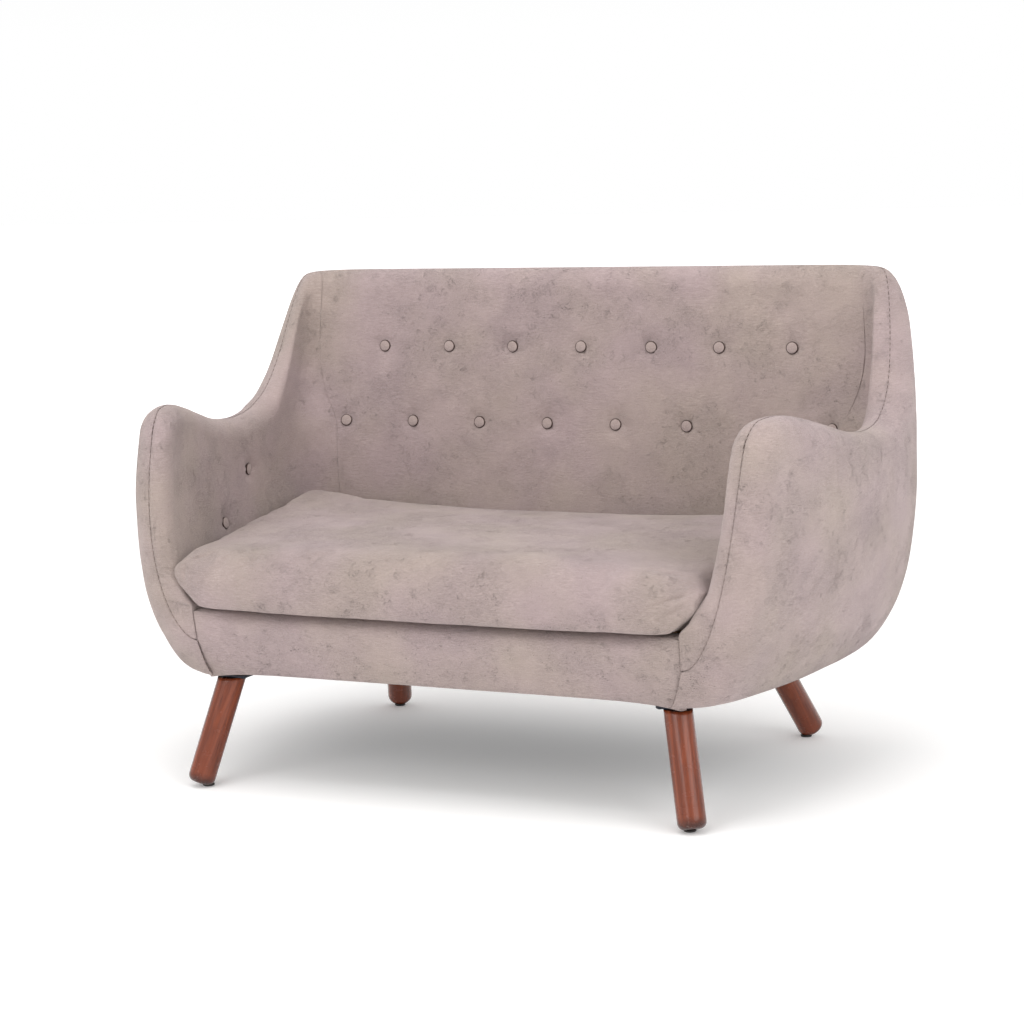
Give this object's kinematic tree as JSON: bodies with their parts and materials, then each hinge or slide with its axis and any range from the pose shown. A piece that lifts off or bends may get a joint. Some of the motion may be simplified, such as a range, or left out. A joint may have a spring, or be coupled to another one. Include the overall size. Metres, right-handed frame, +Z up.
{
  "type": "dog bed with frame",
  "caption": "Sofa-shaped pet bed: rounded upholstered shell with a high buttoned back, sloping arms, a loose seat cushion and splayed round wooden legs.",
  "frame": {"origin": "on the floor, under the middle of the whole bed", "axes": "+Z up, +X to the right for a viewer who faces the open front, and the front faces -Y"},
  "size_m": [1.0102, 0.5916, 0.662],
  "materials": {
    "shell_fabric": "woven slub upholstery cloth",
    "seat_fabric": "woven slub upholstery cloth",
    "button_fabric": "the same cloth, drawn over a button",
    "leg_walnut": "satin lacquer over a red walnut stain",
    "plywood": "bare birch plywood",
    "beech": "bare sawn beech",
    "dust_cloth": "thin black non-woven cloth",
    "plate_steel": "dark satin powder coat",
    "zinc_steel": "bright zinc plate",
    "glide_nylon": "dark moulded nylon",
    "zipper_tape": "close woven polyester tape"
  },
  "bodies": {
    "frame": {"left_arm_pad": "shell_fabric", "left_arm_outer_cover": "shell_fabric", "left_arm_core_panel": "plywood", "right_arm_pad": "shell_fabric", "right_arm_outer_cover": "shell_fabric", "right_arm_core_panel": "plywood", "back_pad": "shell_fabric", "back_outer_cover": "shell_fabric", "back_core_panel": "plywood", "front_rail": "beech", "rear_rail": "beech", "centre_rail": "beech", "left_side_rail": "beech", "right_side_rail": "beech", "seat_deck": "plywood", "front_rail_cover": "shell_fabric", "leg_front_left": "leg_walnut", "foot_glide_front_left": "glide_nylon", "hanger_bolt_front_left": "zinc_steel", "leg_plate_front_left": "plate_steel", "corner_block_front_left": "beech", "leg_front_right": "leg_walnut", "foot_glide_front_right": "glide_nylon", "hanger_bolt_front_right": "zinc_steel", "leg_plate_front_right": "plate_steel", "corner_block_front_right": "beech", "leg_rear_left": "leg_walnut", "foot_glide_rear_left": "glide_nylon", "hanger_bolt_rear_left": "zinc_steel", "leg_plate_rear_left": "plate_steel", "corner_block_rear_left": "beech", "leg_rear_right": "leg_walnut", "foot_glide_rear_right": "glide_nylon", "hanger_bolt_rear_right": "zinc_steel", "leg_plate_rear_right": "plate_steel", "corner_block_rear_right": "beech", "dust_cover": "dust_cloth", "button_back_upper_1": "button_fabric", "button_back_upper_2": "button_fabric", "button_back_upper_3": "button_fabric", "button_back_upper_4": "button_fabric", "button_back_upper_5": "button_fabric", "button_back_upper_6": "button_fabric", "button_back_upper_7": "button_fabric", "button_back_lower_1": "button_fabric", "button_back_lower_2": "button_fabric", "button_back_lower_3": "button_fabric", "button_back_lower_4": "button_fabric", "button_back_lower_5": "button_fabric", "button_back_lower_6": "button_fabric", "button_back_lower_7": "button_fabric", "button_back_lower_8": "button_fabric", "button_left_arm_1": "button_fabric", "button_left_arm_2": "button_fabric", "button_right_arm_1": "button_fabric", "button_right_arm_2": "button_fabric"},
    "cushion": {"seat_cushion": "seat_fabric", "zipper_tape": "zipper_tape"},
    "zip_slider": {"zipper_slider": "zinc_steel"},
    "zip_pull": {"zipper_pull": "zinc_steel"}
  },
  "joints": [
    {"name": "cushion_lift", "type": "slide", "parent": "frame", "child": "cushion", "axis": [0, 0, 1], "range_m": [0, 0.25]},
    {"name": "zipper_slide", "type": "slide", "parent": "cushion", "child": "zip_slider", "axis": [1, 0, 0], "range_m": [0, 0.576]},
    {"name": "zipper_pull_swing", "type": "hinge", "parent": "zip_slider", "child": "zip_pull", "pos_m": [-0.288, 0.189, 0.266], "axis": [1, 0, 0], "range_deg": [0, 50]}
  ]
}
